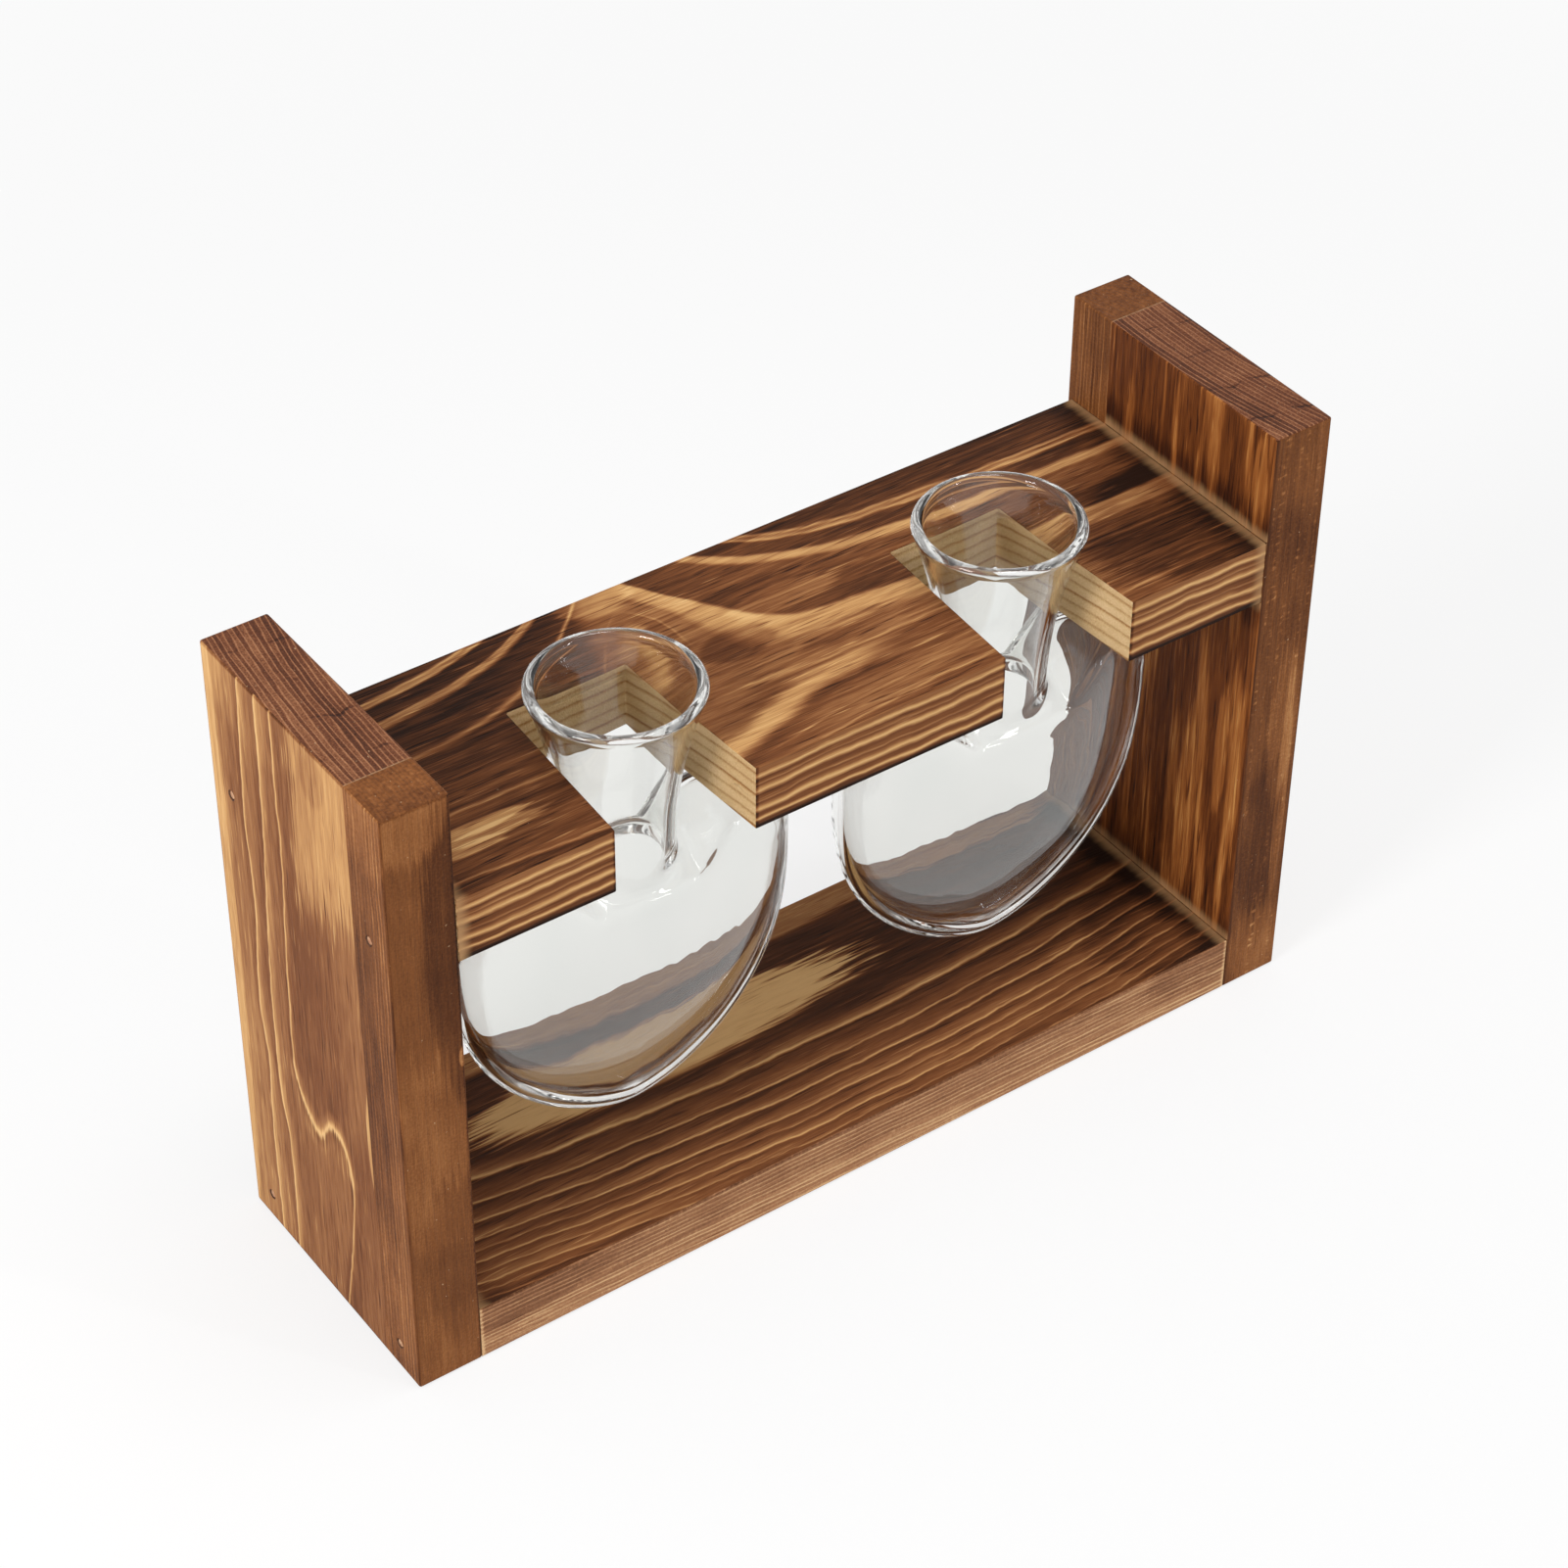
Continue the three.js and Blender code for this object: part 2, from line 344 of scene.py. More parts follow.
def cornered(burn, grain, joints, seed):
    """Inside corners at (place along the grain, how much darker near it): the new burn and the worn corner.
    """
    axes = (grain.along, grain.across, grain.across)
    comb = cloud(axes, (0.04, 0.6, 0.2), 3, seed) * 2.4
    worn = None
    for place, depth in joints:
        gap = abs(grain.along - place)
        burn = burn + (gap + comb).rise(10, 3) * depth
        mask = (gap + comb * 0.25).rise(3.4, 0.2) * gap.rise(0, 0.25)
        mask = mask * (0.66 + grain.flame * 0.3)
        worn = mask if worn is None else mask.math("MAXIMUM", worn, mask)
    return burn, worn


def arrised(burn, edges):
    """Chars the arrises at (coordinate, place)."""
    for axis, place in edges:
        burn = burn + abs(axis - place).rise(0.9, 0.2) * 0.24
    return burn


def scorched(made, burn, grain, worn=None, tones=TORCHED):
    """Closes a torched finish from its burn."""
    colour = burn.shade(tones)
    if worn is not None:
        colour = worn.over(colour, CORNER)
    colour = (grain.crumb.rise(0.92, 1.15) * 0.6).over(colour, CRUMB)
    height = grain.fibre * 0.3 + grain.hair * 0.25 - burn * 1.2
    return end(made, colour, 0.54 + burn * 0.14, height, 0.3 * MM, {"Specular IOR Level": 0.09})


print("marks are blocks, patches, corners and arrises")

# %% [markdown]
# ### Base board
# The rings meet the top of the base in thin lines that sag towards the front in the middle, closer together
# near the front edge. Behind them lies a bare lens of wood, and the rest is nearly black. The lens and a
# light band near the back are painted lighter than the wood itself: painted light that offsets the shade of
# the vase and the shelf above them. The sag is a parabola that is added to the place across the board
# before the rings are looked up.

# %% Base top
BASE_RINGS = [
    (-32.6, 0.3, 0.6, 0.28, 0.56), (-30.4, 0.3, 0.62, 0.28, 0.54), (-28, 0.4, 0.6, 0.14, 0.44),
    (-25, 0.3, 0.62, 0.28, 0.5), (-22, 0.42, 0.68, 0.14, 0.48), (-19, 0.3, 0.7, 0.32, 0.54),
    (-16, 0.45, 0.74, 0.14, 0.5), (-11.2, 0.5, 0.78, 0.12, 0.54), (-6.2, 0.5, 0.8, 0.16, 0.56),
    (0.6, 0.8, 0.82, 0.1, 0.46)]
# The first two patches, the bare lens and a band near the back, hold painted light that offsets shade.
BASE_PATCHES_AND_PAINTED_LIGHT = [
    (-25, 10.4, 52, 9.2, -0.8), (0, 31, 120, 5.5, -0.42), (62, 8, 40, 14, 0.04), (97, -20, 26, 19, 0.15)]


def base_top_finish():
    made, x, y, z = begin("torched_base_top")
    grain = Grain(x, y, z, 5.5)
    sag, lowest, reach = 7, 5, 92
    bow = (x - lowest) / reach
    shiver = wander((x, y), ((0.05, 0.03), 3, 2.2, 0.9), ((0.4, 0.3), 1, 6.1, 0.1))
    place = y + sag - bow * bow * sag + shiver
    burn = rings(place, BASE_RINGS, (-34, 0.6), (5, 0.82)) + grain.rough()
    burn = burn + y.rise(-29.5, -32.8) * 0.14 + cloud((x, y), (0.03, 0.4), 2, 8) * 0.06
    burn, worn = cornered(patched(burn, grain, BASE_PATCHES_AND_PAINTED_LIGHT), grain, [(-INNER, 0.1), (INNER, 0.24)], 3)
    return scorched(made, burn, grain, worn)


base_top = base_top_finish()

# %% [markdown]
# ### Shelf
# On top of the shelf the rings rise in one tall arch beside the left vase and run out level to both sides.
# The arch is a curve that falls off from its axis, steeper on the left; towards the front edge it turns
# into a shallow dip. The rings left and right of the axis differ, so each side has its own ramp. In the
# middle of the arch the board is calm, and a light band crosses it near the front.

# %% Shelf top
LEFT_RINGS = [
    (-29, 0.6, 0.78, 0.36, 0.68), (-12, 0.6, 0.74, 0.42, 0.72), (6, 1.3, 0.86, 0.34, 0.84),
    (18.2, 1.6, 0.98, 0.3, 0.6), (19.6, 0.6, 0.4, 0.3, 0.86), (25.2, 0.7, 1, 0.34, 0.5),
    (26.8, 0.7, 0.55, 0.24, 0.92)]
RIGHT_RINGS = [
    (-29.5, 0.6, 0.62, 0.36, 0.54), (-25, 0.5, 0.6, 0.4, 0.54), (-12.5, 0.5, 0.58, 0.36, 0.5),
    (-6.6, 1.8, 0.5, 0.24, 0.18), (-2.2, 0.8, 0.16, 0.2, 0.74), (12.6, 1, 0.62, 0.28, 0.2),
    (14.6, 0.8, 0.2, 0.26, 0.74), (20.2, 0.7, 0.74, 0.22, 0.44), (21.9, 0.6, 0.48, 0.26, 0.8)]
SHELF_PATCHES = [
    (-84, -17.2, 11, 1.9, -0.36), (-82, -19.8, 13, 2, -0.36), (-89, -22, 9, 1.7, -0.34),
    (-27, 31, 9, 6.5, -0.26), (96, -16, 32, 20, 0.27), (96, 10, 30, 12, 0.08), (6, 9.5, 13, 4, -0.2),
    (-11, 1.5, 9, 5, 0.18), (9.5, -6, 12, 4, 0.08), (-2, -10, 26, 8, -0.06)]


def shelf_top_finish():
    made, x, y, z = begin("torched_shelf_top")
    grain = Grain(x, y, z, 2.6)
    off = x + 32 - y * 0.3
    side = off.rise(-7, 7)
    far = (off * off + 16).root() - 4
    arch = (far / (side * -7 - 15)).power() * (y.rise(-28, 20) * 46 - 10)
    sway = wander((x, y), ((0.03, 0.05), 2, 4, 0.9), ((0.14, 0.1), 2, 5, 0.35))
    place = y - arch + sway
    left = rings(place, LEFT_RINGS, (-34, 0.7), (34, 0.96))
    right = rings(place, RIGHT_RINGS, (-34, 0.6), (34, 0.88))
    burn = left + (right - left) * side
    calm = abs(off - 6).rise(18, 8) * y.rise(12, 4) * 0.9
    calm = calm.math("MAXIMUM", calm, abs(off + 3).rise(8, 3) * 0.7)
    burn = burn + (0.53 - burn) * calm + grain.rough(1.6 - calm * 0.5)
    band = place + 15.2 + x.rise(2, -28) * 3.6 + grain.fibre * 0.9 + grain.dash * 0.6
    run = x.rise(18, 4) * side
    burn = burn - band.rise(-3.4, -0.8) * band.rise(3.2, 0.6) * run * 0.34
    burn = burn + band.rise(-8, -4.5) * band.rise(-2.6, -4) * run * 0.14
    burn, worn = cornered(patched(burn, grain, SHELF_PATCHES), grain, [(-INNER, 0.08), (INNER, 0.16)], 9)
    return scorched(made, burn, grain, worn)


shelf_top = shelf_top_finish()

# %% [markdown]
# The front edge of the shelf cuts the same rings as four strong light lines. Its lower arris and the
# corners of the notches are charred. It needs no arch, so the rings are looked up by height alone.

# %% Shelf front
FRONT_RINGS = [
    (111.4, 0.75, 0.74, 0, 0.54), (114.1, 0.95, 0.66, 0, 0.46), (116.2, 0.4, 0.62, 0.38, 0.56),
    (118.6, 0.9, 0.66, 0, 0.46), (120.3, 0.35, 0.6, 0.38, 0.54), (122.1, 0.85, 0.66, 0, 0.48)]


def shelf_front_finish():
    made, x, y, z = begin("torched_shelf_front")
    grain = Grain(x, z, y, 7.7)
    sway = wander((x, y, z), ((0.03, 0, 0.05), 2, 1, 1.1), ((0.16, 0, 0.1), 2, 5, 0.3))
    burn = rings(z + sway, FRONT_RINGS, (SHELF_UNDER, 0.76), (125, 0.5)) + grain.rough(0.7)
    burn = burn + abs(z - SHELF_UNDER + grain.hair * 0.15).rise(1.4, 0.3) * 0.5
    burn = arrised(burn, [(x, place) for place in NOTCH_CORNERS])
    burn, worn = cornered(burn, grain, [(-INNER, 0.05), (INNER, 0.05)], 6)
    return scorched(made, burn, grain, worn)


shelf_front = shelf_front_finish()

# %% [markdown]
# ### Ends
# The left end shows bare wood along its back edge and at the top, two wavering light lines, and a third
# that hooks across the board low down. Each line is a curve through a few points of height and place. The
# hook is the edge of a region between such curves, joined by smooth minimum and maximum, which rounds its
# corners. Where it crosses the grain it breaks into bristles.

# %% Outer face of the left end
BACK_LINE = [(0, 22), (35, 22), (50, 21), (65, 22.7), (94, 20.4), (115, 21.2), (151, 19)]
MIDDLE_LINE = [(0, 15.2), (33, 14.9), (45, 17), (82, 16.4), (113, 13.9), (151, 12.7)]
HOOK_SHANK = [(0, 9.9), (56, 9.9), (73, 9.6), (90, 8.7), (102, 7.7), (118, 6.8), (126, 7.1), (151, 6.7)]
HOOK_TAIL = [(0, -5), (12, -7.3), (18, -8.6), (26, -9.9), (34, -11), (40, -11.4), (47, -10.8), (60, -10)]
HOOK_CREST = [(-12.4, 38), (-11.3, 43), (-10.2, 46.8), (-8.4, 49.6), (-5.4, 51), (-2.9, 50), (-1, 47),
              (0.6, 45), (2.2, 44.9), (4, 46.2), (6.4, 48.6), (8.3, 51.8), (9.9, 56), (11, 60)]
LEFT_PATCHES = [
    (90, 34, 100, 5, -0.22), (150, 31, 45, 6, -0.08), (144, -8, 7, 5, 0.08), (150, 14, 16, 20, -0.07),
    (60, -20.4, 13, 1.3, -0.3), (84, -4, 30, 12, 0.05), (130, 25, 16, 4, 0.07), (20, 2, 26, 9, 0.03),
    (24, 26, 52, 13, -0.06)]


def left_outer_finish():
    made, x, y, z = begin("torched_left_outer")
    grain = Grain(z, y, x, 1.3)
    tremble = cloud((z, y), (0.16, 0.1), 2, 6) * 0.3
    bristle = cloud((y, z), (2.2, 0.07), 2, 4.4)
    shank, tail = bend(z, HOOK_SHANK) - y - tremble, bend(z, HOOK_TAIL) - y + tremble * 0.5
    crest = (z - bend(y, HOOK_CREST) + bristle * 1.1) / 1.3
    hook = crest.math("SMOOTH_MIN", shank, crest, 1.6)
    hook = hook.math("SMOOTH_MAX", hook, tail, 1.6)
    low = z.rise(60, 54) * z.rise(38, 43)
    burn = 0.49 + hook.rise(-0.6, 1) * hook.rise(24, 3) * 0.1 - y.rise(10, 30) * 0.05
    burn = streak(burn, y - bend(z, BACK_LINE) + tremble, 0.6, 0.28, 0.14, 2.6)
    burn = streak(burn, y - bend(z, MIDDLE_LINE) + tremble, 0.65, 0.26, 0.18, 3.4)
    burn = streak(burn, -hook, 0.65 + low * 1.1, 0.3, 0.1 + low * 0.14, 2 + low * 2.6)
    brush = hook.rise(-9, -0.4) * hook.rise(0.6, -0.2) * low
    burn = burn - brush * bristle.rise(-0.3, 0.7) * 0.36
    burn = block(burn + grain.rough(), grain, 112.5, (-20.4, 1.6), 0.34, -0.27)
    burn = patched(burn, grain, LEFT_PATCHES)
    return scorched(made, arrised(burn, [(z, TOP), (z, 0), (y, DEPTH)]), grain)


left_outer = left_outer_finish()

# %% [markdown]
# The outer face of the right end can't be seen in the photograph. It is the same wood, so it takes plain
# rings that wander along the board, and two bare patches.

# %% Outer face of the right end
RIGHT_END_RINGS = [
    (-25, 0.5, 0.5, 0.2, 0.36), (-17.5, 0.5, 0.54, 0.2, 0.34), (-9, 0.9, 0.5, 0.22, 0.3),
    (2, 0.9, 0.55, 0.24, 0.34), (11, 0.5, 0.52, 0.2, 0.44)]
RIGHT_PATCHES = [(120, -4, 50, 9, -0.22), (40, -30, 70, 5, -0.18)]


def right_outer_finish():
    made, x, y, z = begin("torched_right_outer")
    grain = Grain(z, y, x, 4.1)
    sway = wander((z, y), ((0.02, 0.05), 2, 7, 1.8), ((0.15, 0.1), 1, 3, 0.25))
    burn = rings(y + sway - z * 0.03, RIGHT_END_RINGS, (-38, 0.46), (22, 0.5)) + grain.flame * 0.08
    burn = patched(burn + grain.rough(), grain, RIGHT_PATCHES)
    return scorched(made, arrised(burn, [(z, TOP), (z, 0), (y, -DEPTH)]), grain)


right_outer = right_outer_finish()

# %% [markdown]
# The inner faces are darker and redder, with feathered streaks along the grain, because the torch was held
# into the corners for longer. Rings don't show there, so broad and thin noise make the streaks.

# %% Inner faces of the ends
def inner_finish(name, seed, patches=()):
    made, x, y, z = begin(name)
    grain = Grain(z, y, x, seed)
    broad = cloud((z, y), (0.013, 0.21), 4, seed + 2)
    thin = cloud((z, y), (0.028, 0.9), 2, seed + 4)
    burn = 0.68 - broad.rise(-0.05, 0.5) * 0.33 - thin.rise(0.1, 0.7) * 0.2 + grain.rough(1.2)
    joints = [(SHELF_TOP, 0.16), (BASE_TOP, 0.1), (SHELF_UNDER, 0.12)]
    burn, worn = cornered(patched(burn, grain, patches), grain, joints, seed + 6)
    return scorched(made, burn, grain, worn, WARM)


left_inner = inner_finish("torched_left_inner", 6.2)
right_inner = inner_finish("torched_right_inner", 8.4, [
    (40, -15.5, 28, 3.2, -0.24), (64, -25.5, 18, 2.2, -0.24), (136, -29.5, 14, 2.4, -0.24)])

# %% [markdown]
# ## Narrow faces
# Strips, board edges and the front of the base are cut the other way, so the rings meet the face as many
# fine straight lines. One function does them all: a coordinate across the face, slightly slanted, is cut
# into thin rings, and patches make the brown lighter or darker along the piece.

# %% Fine straight grain
BROWN = [(0, screen(218, 168, 110)), (0.3, screen(168, 111, 64)), (0.5, screen(132, 80, 41)),
         (0.75, screen(88, 48, 22)), (1, screen(42, 20, 9))]
TAN = [(0, screen(226, 184, 136)), (0.3, screen(174, 124, 86)), (0.5, screen(138, 93, 63)),
       (0.75, screen(92, 56, 34)), (1, screen(46, 24, 14))]


def cut_rings(place, pitch):
    """Where a point lies in its ring, from 0 to 1, and a chance of its own for every ring."""
    ring = place / pitch
    turn = ring.math("FRACT", ring)
    return turn, ring.node("ShaderNodeTexWhiteNoise", {"noise_dimensions": "1D"}, {"W": ring - turn})


def straight(name, lengthwise, across, pitch, lines, seed, burn=0.5, slant=0, patches=(), edges=(),
             specks=0.4, brush=0.9, blotch=0.12, chatter=0, tones=BROWN):
    """Quarter-cut faces. edges: (axis, place, reach, how much darker). chatter: the planer's marks."""
    made, x, y, z = begin(name)
    axes = {"x": x, "y": y, "z": z}
    along, face = axes[lengthwise], axes[across]
    grain = Grain(along, face, face * 0.5, seed)
    three = (along, face, face)
    sway = wander(three, ((0.02, 0.08, 0.05), 2, seed, 0.8), ((0.1, 0.1, 0.1), 2, seed + 1, 0.2))
    turn, chance = cut_rings(face + along * slant + sway, pitch)
    line = turn.rise(0.4, 0.88) * turn.rise(1, 0.9) * (0.15 + chance * 0.85)
    mottle = cloud((x, y, z), (0.07, 0.07, 0.05), 3, seed + 6)
    grit = cloud((x, y, z), (1.8, 1.8, 1.8), 3, seed + 8)
    level = burn + mottle * blotch + grain.rough(brush) + grit * 0.09 - line * lines
    level = patched(level, grain, patches)
    if chatter:
        marks = cloud(three, (1.1, 0.4, 0.1), 2, seed + 17).rise(0, 0.8)
        tracks = cloud(three, (0.03, 0.8, 0.1), 2, seed + 19).rise(-0.1, 0.6)
        level = level - marks * tracks * chatter
    for axis, place, reach, amount in edges:
        level = level + abs(axes[axis] - place + grit * 0.2).rise(reach, reach * 0.2) * amount
    dust = cloud((x, y, z), (1.3, 1.3, 1.3), 2, seed + 16)
    colour = (dust.rise(0.78, 0.94) * specks).over(level.shade(tones), CRUMB)
    height = grain.fibre * 0.3 + grain.hair * 0.35 + line * 0.4
    return end(made, colour, 0.54 + level * 0.1, height, 0.2 * MM, {"Specular IOR Level": 0.1})


print("stops in the brown ramp:", len(BROWN))

# %% [markdown]
# The strips are the darkest of these faces, and the front of the base is the lightest and the least red.
# Most arrises are charred; at the joints the ends of the base are worn to pale wood.

# %% Strips, edges and fronts
strip_side = straight(
    "strip_side", "z", "y", 1.15, 0.32, 1, burn=0.62, brush=1.1,
    patches=[(10, -27, 30, 20, -0.06), (150, -27, 16, 20, -0.12), (80, -22, 34, 5, 0.05)],
    edges=[("y", -SEAM, 0.4, -0.12), ("y", -DEPTH, 0.8, 0.15)])
left_front = straight(
    "left_end_front", "z", "x", 2.2, 0.03, 3, burn=0.56, specks=0.9, brush=0.45,
    patches=[(150, -108, 13, 9, -0.16), (112, -96, 40, 11, 0.2), (62, -106, 26, 20, -0.07),
             (32, -103, 22, 8, 0.08), (4, -106, 14, 20, -0.06), (85, -99.4, 2.5, 0.9, -0.4)],
    edges=[("x", -INNER, 0.8, 0.26), ("z", TOP, 0.9, 0.22), ("x", -OUTER, 0.6, 0.2)])
right_front = straight(
    "right_end_front", "z", "x", 2.6, 0.06, 5, burn=0.6, specks=0.9, brush=0.7, chatter=0.34,
    patches=[(40, 106, 24, 6, 0.12), (72, 109, 22, 4, -0.14), (8, 108, 12, 8, -0.1),
             (52, 111, 30, 1.6, -0.2), (110, 104, 30, 10, 0.06)],
    edges=[("x", INNER, 1.2, 0.2), ("x", OUTER, 0.6, 0.15)])
back_edge = straight("end_back_edge", "z", "x", 1.8, 0.1, 7, edges=[("z", TOP, 1, 0.2)])
base_front = straight(
    "base_front", "x", "z", 1.15, 0.36, 9, burn=0.41, slant=0.02, specks=0.9, brush=1.1, blotch=0.06,
    chatter=0.12, tones=TAN,
    patches=[(-10, 1, 130, 5, -0.12), (-88, 11, 22, 5, 0.1), (90, 11, 14, 6, 0.12)],
    edges=[("z", BASE_TOP, 0.7, 0.2), ("x", -INNER, 1, -0.35), ("x", INNER, 1, -0.35)])
shelf_rear = straight("shelf_back_edge", "x", "z", 2.6, 0.28, 11, slant=0.01, burn=0.55)

# %% [markdown]
# ## Sawn ends
# The tops of the ends are sawn across the tree and show its rings as close, slightly curved lines with a
# few cross checks, darker than the faces because end grain drinks in the flame. The strip was cut from
# denser wood and only looks speckled. The walls of the notches were sawn after the torch and stay raw.
# Every ring is a circle about the pith, the heart of the tree, far outside the board.

# %% Sawn ends
REDDISH = [(0, screen(186, 134, 96)), (0.3, screen(150, 98, 66)), (0.6, screen(104, 59, 37)),
           (1, screen(54, 28, 17))]
RAW = [(0, screen(228, 198, 152)), (0.3, screen(204, 168, 118)), (0.7, screen(160, 109, 60)),
       (1, screen(112, 72, 38))]
CHECK_PITCH = 13


def sawn(name, pith, pitch, late, base, depth, tones, seed, axes="xy", checks=0, specks=0, uneven=0.3,
         fine=2.6, seam=0):
    """Faces cut across the tree. late: where in a ring its dark wood starts, and where it is darkest."""
    made, x, y, z = begin(name)
    pick = {"x": x, "y": y, "z": z}
    first, second = (pick[axis] for axis in axes)
    side, deep = first - pith[0], second - pith[1]
    ring = (side * side + deep * deep).root() + cloud((x, y, z), (0.09, 0.05, 0.07), 2, seed) * 0.45
    ring = ring + cloud((first, second), (0.55, 0.03), 2, seed + 8) * (pitch * uneven)
    turn, chance = cut_rings(ring, pitch)
    pores = cloud((x, y, z), (fine, fine, fine), 3, seed + 2)
    mottle = cloud((x, y, z), (0.12, 0.08, 0.1), 3, seed + 4)
    dark = turn.rise(*late) * turn.rise(1, 0.8) * (0.45 + chance * 0.5 + pores * 0.12)
    run = second + first * 0.18 + cloud((first, second), (0.2, 0.03), 2, seed + 6) * 1.5
    run = run / CHECK_PITCH
    check = abs(run.math("FRACT", run) - 0.5).rise(0.035, 0.01) * mottle.rise(-0.2, 0.5)
    level = base + dark * depth + pores * 0.16 + mottle * 0.14 + check * checks
    dust = cloud((x, y, z), (1.5, 1, 1.5), 2, seed + 10)
    colour = (dust.rise(0.68, 0.9) * specks).over(level.shade(tones), CRUMB)
    # A thin light line along the seam: partly glue, partly a painted highlight of the edge.
    if seam:
        colour = (abs(abs(second) - seam).rise(0.4, 0.1) * (0.4 + pores * 0.4)).over(colour, CRUMB)
    height = pores * 0.4 - dark * 0.5 - check
    return end(made, colour, 0.66 + pores * 0.05, height, 0.25 * MM, {"Specular IOR Level": 0.15})


worn = {"checks": 0.35, "specks": 0.7}
left_sawn = sawn("left_end_sawn_top", (224, -25), 1.12, (0, 0.28), 0.19, 0.62, REDDISH, 1, **worn)
right_sawn = sawn("right_end_sawn_top", (320, 10), 1.15, (0, 0.28), 0.21, 0.62, REDDISH, 2, **worn)
strip_sawn = sawn("strip_sawn_top", (-160, -26), 0.9, (0.2, 0.6), 0.6, 0.02, BROWN, 3, specks=0.8,
                  fine=1.2, seam=SEAM)
raw_cut = sawn("notch_raw_cut", (-36, -60), 2.7, (0.5, 0.85), 0.2, 0.62, RAW, 4, axes="yz", uneven=0)

# %% [markdown]
# ## Brads
# The boards are nailed through the ends with small brads whose heads sit just below the wood. Eight alike
# pieces on eight points are work for Geometry Nodes. One brad is a line of six points from head to tip;
# each point has a depth and a radius, and Curve to Mesh skins them to one closed shell. Each copy turns its
# head to the side of the frame that it is on.

# %% Brad tree
def brad_tree(words):
    """A tree that sets a brad on every point, with a named input for each size."""
    tree = bpy.data.node_groups.new("brad_rows", "GeometryNodeTree")
    sockets = [("Points", "INPUT", "Geometry"), *[(word, "INPUT", "Float") for word in words],
               ("Finish", "INPUT", "Material"), ("Brads", "OUTPUT", "Geometry")]
    for word, way, kind in sockets:
        tree.interface.new_socket(word, in_out=way, socket_type="NodeSocket" + kind)
    given = tree.nodes.new("NodeGroupInput").outputs
    head, thick, eased, shank, length, point = (Tone(tree, given[word]) for word in words)
    start = Tone(tree)

    def by_point(*values):
        """A value of its own for each point of the line."""
        sockets = dict(enumerate((start.node("GeometryNodeInputIndex"), *values)))
        return start.node("GeometryNodeIndexSwitch", {"data_type": "FLOAT", "items": len(values)}, sockets)

    depth = by_point(0, eased, thick, thick + eased * 0.2, length - point, length)
    radius = by_point(head * 0.75, head, head, shank, shank, shank * 0.05)
    line = start.node("GeometryNodeCurvePrimitiveLine")
    line = start.node("GeometryNodeResampleCurve", None, {"Curve": line, "Count": 6})
    down = start.node("ShaderNodeCombineXYZ", None, {2: -depth})
    line = start.node("GeometryNodeSetPosition", None, {"Geometry": line, "Position": down})
    ring = start.node("GeometryNodeCurvePrimitiveCircle", None, {"Resolution": 24, "Radius": 1})
    brad = start.node("GeometryNodeCurveToMesh", None, {
        "Curve": line, "Profile Curve": ring, "Scale": radius, "Fill Caps": True})
    where = start.node("ShaderNodeSeparateXYZ", None, {0: start.node("GeometryNodeInputPosition")})
    outward = start.node("ShaderNodeCombineXYZ", None, {1: where.math("SIGN", where) * (math.pi / 2)})
    outward = start.node("FunctionNodeEulerToRotation", None, {0: outward})
    copies = start.node("GeometryNodeInstanceOnPoints", None, {
        "Points": Tone(tree, given["Points"]), "Instance": brad, "Rotation": outward})
    solid = start.node("GeometryNodeRealizeInstances", None, {0: copies})
    dressed = start.node("GeometryNodeSetMaterial", None, {
        "Geometry": solid, "Material": Tone(tree, given["Finish"])})
    start.node("NodeGroupOutput", None, {0: dressed})
    return tree


BRAD = {"Head Radius": 1.1 * MM, "Head Thickness": 0.8 * MM, "Head Ease": 0.25 * MM,
        "Shank Radius": 0.6 * MM, "Length": 30 * MM, "Point": 1.5 * MM}
brad_rows = brad_tree(BRAD)
print("nodes in the brad tree:", len(brad_rows.nodes))

# %% [markdown]
# The heads are steel that the flame turned to the colour of copper, and the walls of their holes are
# charred. A metal needs little: full Metallic, its colour as Base Color, and fine scratches in the bump.

# %% Steel and charred holes
def flamed_steel():
    made, x, y, z = begin("brad_steel")
    scratch = cloud((x, y, z), (0.5, 9, 2), 3, 1)
    stain = cloud((x, y, z), (0.9, 0.9, 0.9), 3, 5)
    colour = stain.rise(-0.6, 0.8).over(screen(250, 200, 152), screen(206, 140, 96))
    return end(made, colour, 0.3 + stain * 0.08 + scratch * 0.05, scratch, 0.02 * MM, {"Metallic": 1})


def charred_hole():
    made, x, y, z = begin("charred_hole")
    ash = cloud((x, y, z), (1.5, 1.5, 1.5), 3, 2)
    colour = ash.rise(-1, 1).over(screen(66, 38, 22), screen(112, 70, 42))
    return end(made, colour, 0.7 + ash * 0.1, ash, 0.2 * MM)


hole_finish, brad_finish = charred_hole(), flamed_steel()

# %% [markdown]
# The tree runs once for the brads. Run again with larger sizes, and started outside the wood, it gives the
# drill that will bore their ways, so the two can't drift apart.

# %% Brads and drill
def set_rows(name, spots, sizes, finish):
    """The brad tree on the spots, as one plain mesh."""
    points = bpy.data.meshes.new(name + "_points")
    points.from_pydata(spots, [], [])
    holder = put(name + "_points", points)
    rows = holder.modifiers.new("rows", "NODES")
    rows.node_group = brad_rows
    given = {**sizes, "Finish": finish}
    for socket in brad_rows.interface.items_tree:
        if socket.name in given:
            rows[socket.identifier] = given[socket.name]
    mesh = bpy.data.meshes.new_from_object(holder.evaluated_get(bpy.context.evaluated_depsgraph_get()))
    bpy.data.objects.remove(holder)
    mesh.name = name
    print(name, "has", len(mesh.polygons), "faces on", len(spots), "spots")
    return mesh


